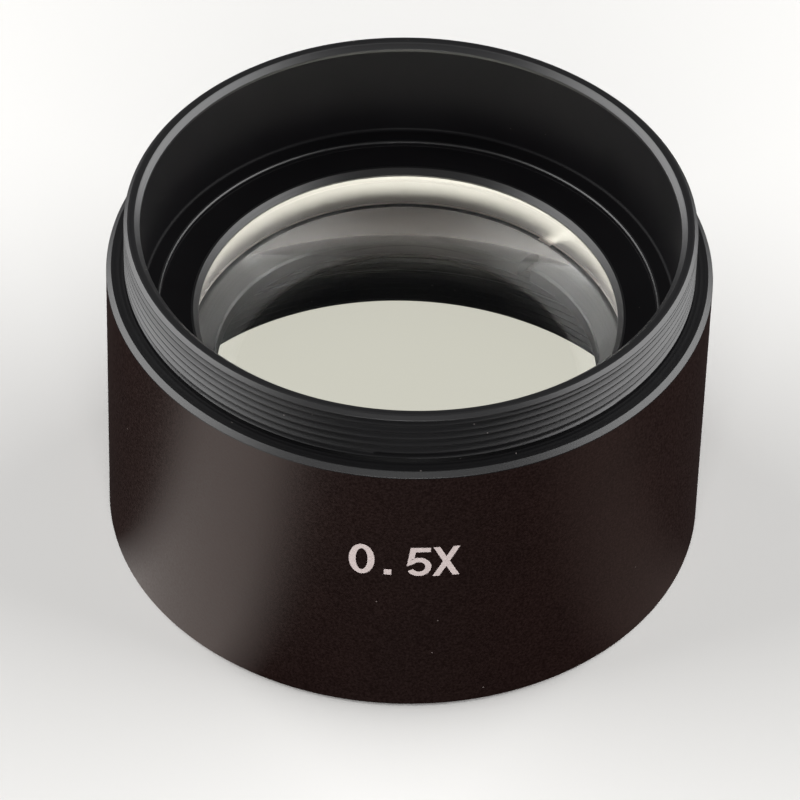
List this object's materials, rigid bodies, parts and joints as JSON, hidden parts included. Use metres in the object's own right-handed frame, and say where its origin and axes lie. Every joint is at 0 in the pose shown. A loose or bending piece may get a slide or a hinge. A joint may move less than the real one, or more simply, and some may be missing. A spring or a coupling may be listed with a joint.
{
  "type": "microscope auxiliary lens",
  "caption": "Screw-in auxiliary objective for a stereo microscope: black turned barrel with a male mounting thread, a cemented lens inside and a slotted retaining ring.",
  "frame": {"origin": "centre of the barrel's foot, on the optical axis", "axes": "+Z along the optical axis, towards the microscope; -Y towards the marked side"},
  "size_m": [0.051, 0.051, 0.0319],
  "materials": {
    "black_anodised": "bead-blasted and anodised matte black",
    "black_anodised_inner": "turned and anodised satin black",
    "optical_glass": "polished faces, fine ground edge"
  },
  "bodies": {
    "root": {"barrel": "black_anodised", "upper_element": "optical_glass", "lower_element": "optical_glass", "retaining_ring": "black_anodised_inner"}
  },
  "joints": []
}
